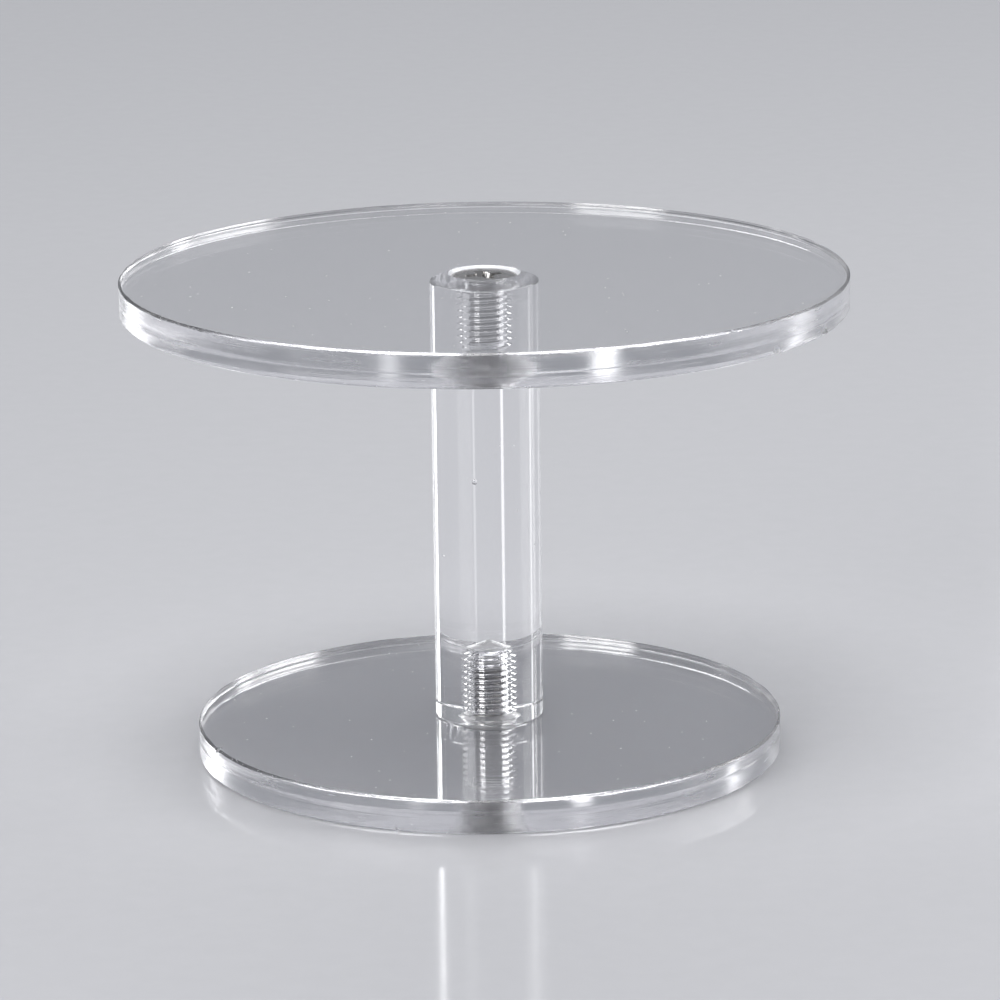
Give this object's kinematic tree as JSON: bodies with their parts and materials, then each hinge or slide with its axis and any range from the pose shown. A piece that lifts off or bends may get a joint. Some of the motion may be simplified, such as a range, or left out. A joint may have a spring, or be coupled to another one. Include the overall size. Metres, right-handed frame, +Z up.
{
  "type": "turntable display stand",
  "caption": "Clear acrylic pedestal: a round base, an upright rod and a larger round top that turns on a countersunk screw.",
  "frame": {"origin": "middle of the base's underside, on the surface it stands on", "axes": "+Z up along the post's axis; +X and +Y are equal, the stand being round"},
  "size_m": [0.08, 0.08, 0.054],
  "materials": {
    "clear_acrylic_sheet": "clear, polished faces and a satin sawn rim",
    "clear_acrylic_rod": "clear, polished side and satin faced ends",
    "screw_steel": "plain stainless steel, as headed and rolled"
  },
  "bodies": {
    "stand": {"base_disc": "clear_acrylic_sheet", "post": "clear_acrylic_rod", "base_screw": "screw_steel", "top_screw": "screw_steel"},
    "turntable": {"top_disc": "clear_acrylic_sheet"}
  },
  "joints": [
    {"name": "turntable_spin", "type": "hinge", "parent": "stand", "child": "turntable", "pos_m": [0, 0, 0.0521], "axis": [0, 0, 1], "continuous": true}
  ]
}
